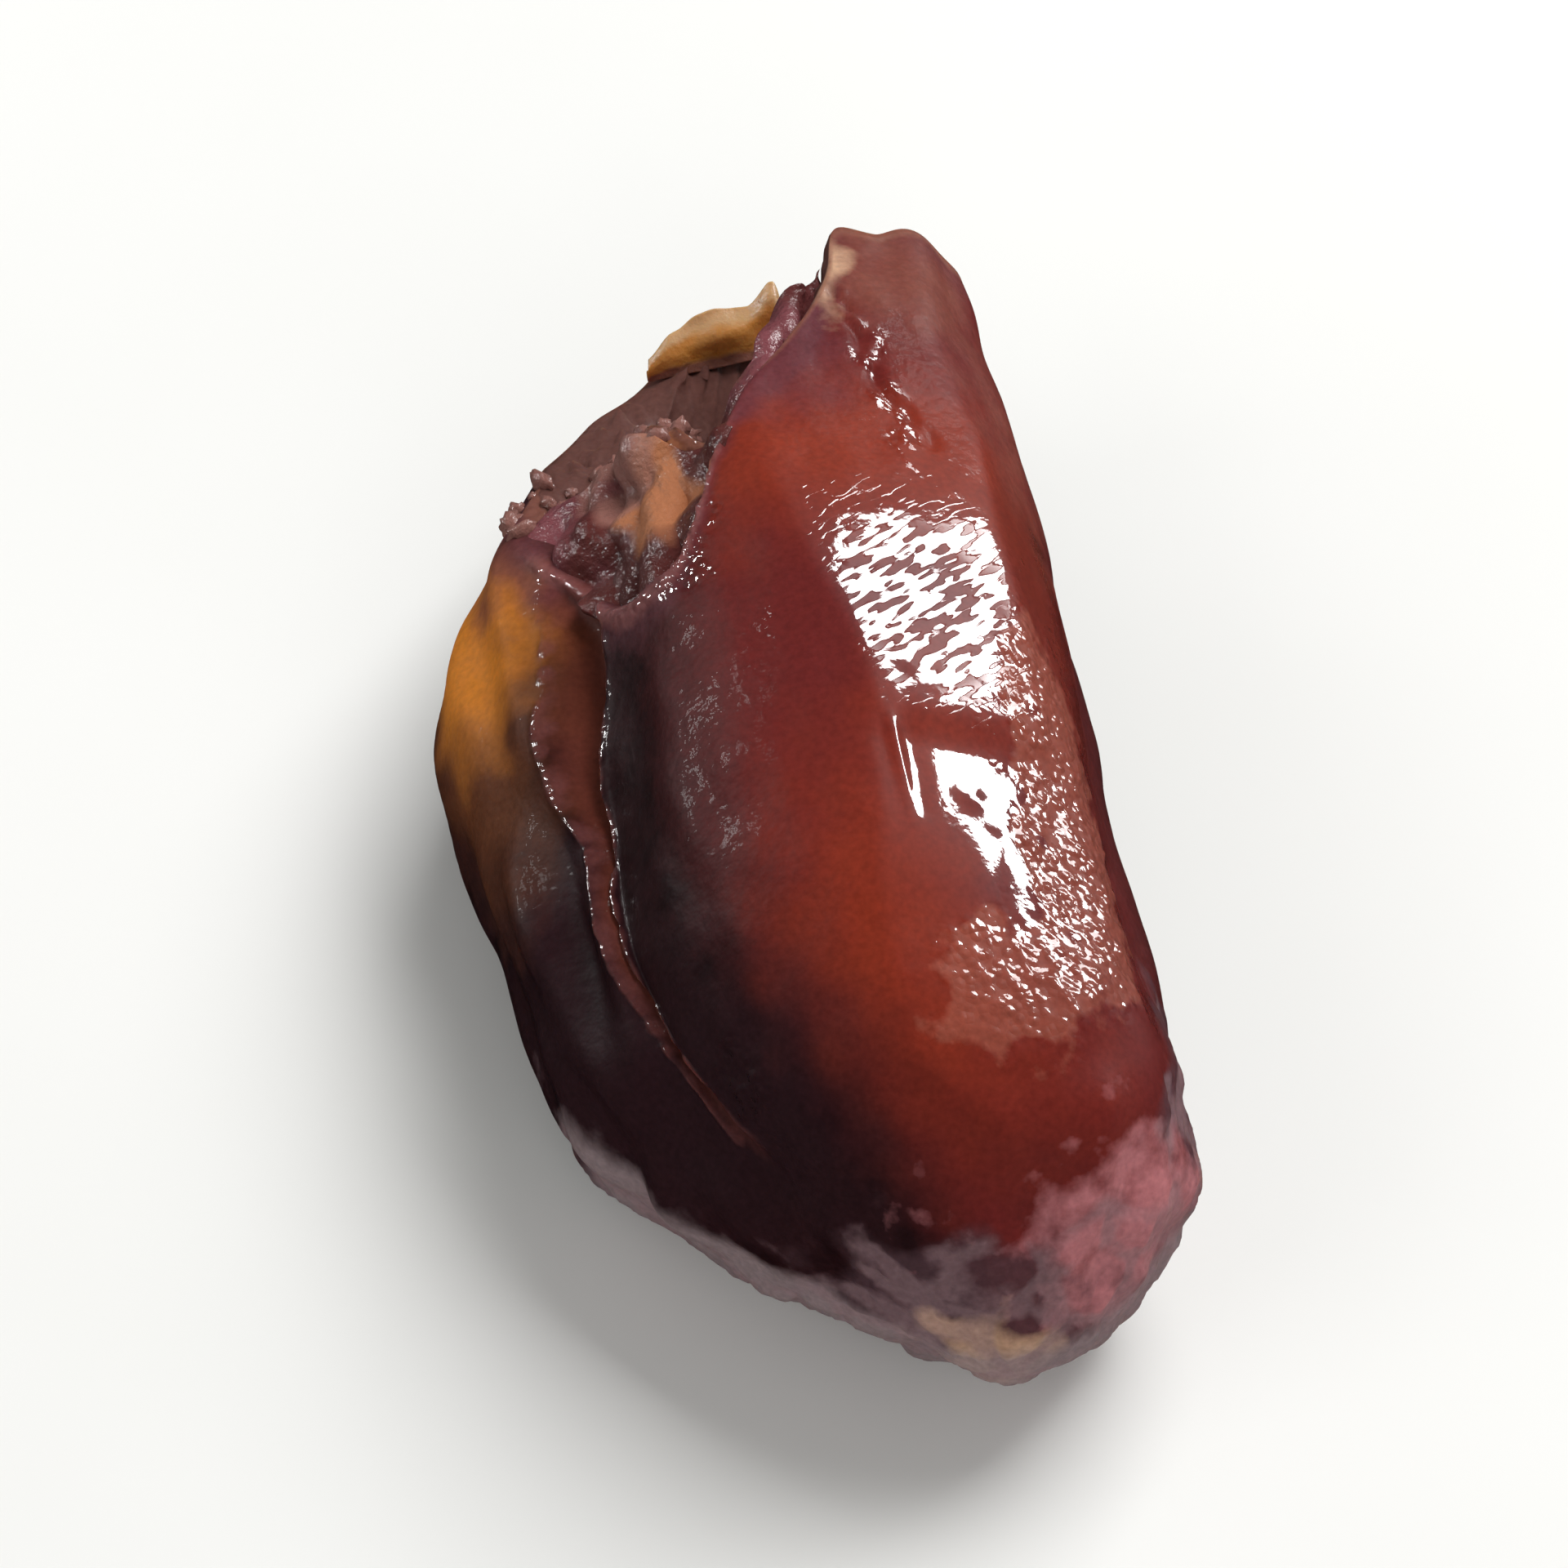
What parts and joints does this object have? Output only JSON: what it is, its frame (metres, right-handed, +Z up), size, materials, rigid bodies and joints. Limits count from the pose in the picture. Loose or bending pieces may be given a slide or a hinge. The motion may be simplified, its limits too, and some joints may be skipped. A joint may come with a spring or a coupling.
{
  "type": "pitted date",
  "caption": "Dried date with its stone taken out: a glossy wrinkled fruit lying on its side, slit along one flank and torn open at the stem end on its hollow.",
  "frame": {"origin": "on the surface that the fruit lies on, under the middle of its box", "axes": "+Z up, +Y along the fruit from its closed tip to its torn mouth, +X to the right of one who looks from the tip to the mouth"},
  "size_m": [0.019, 0.0372, 0.0157],
  "materials": {
    "date_skin": "gloss"
  },
  "bodies": {
    "root": {"date": "date_skin"}
  },
  "joints": []
}
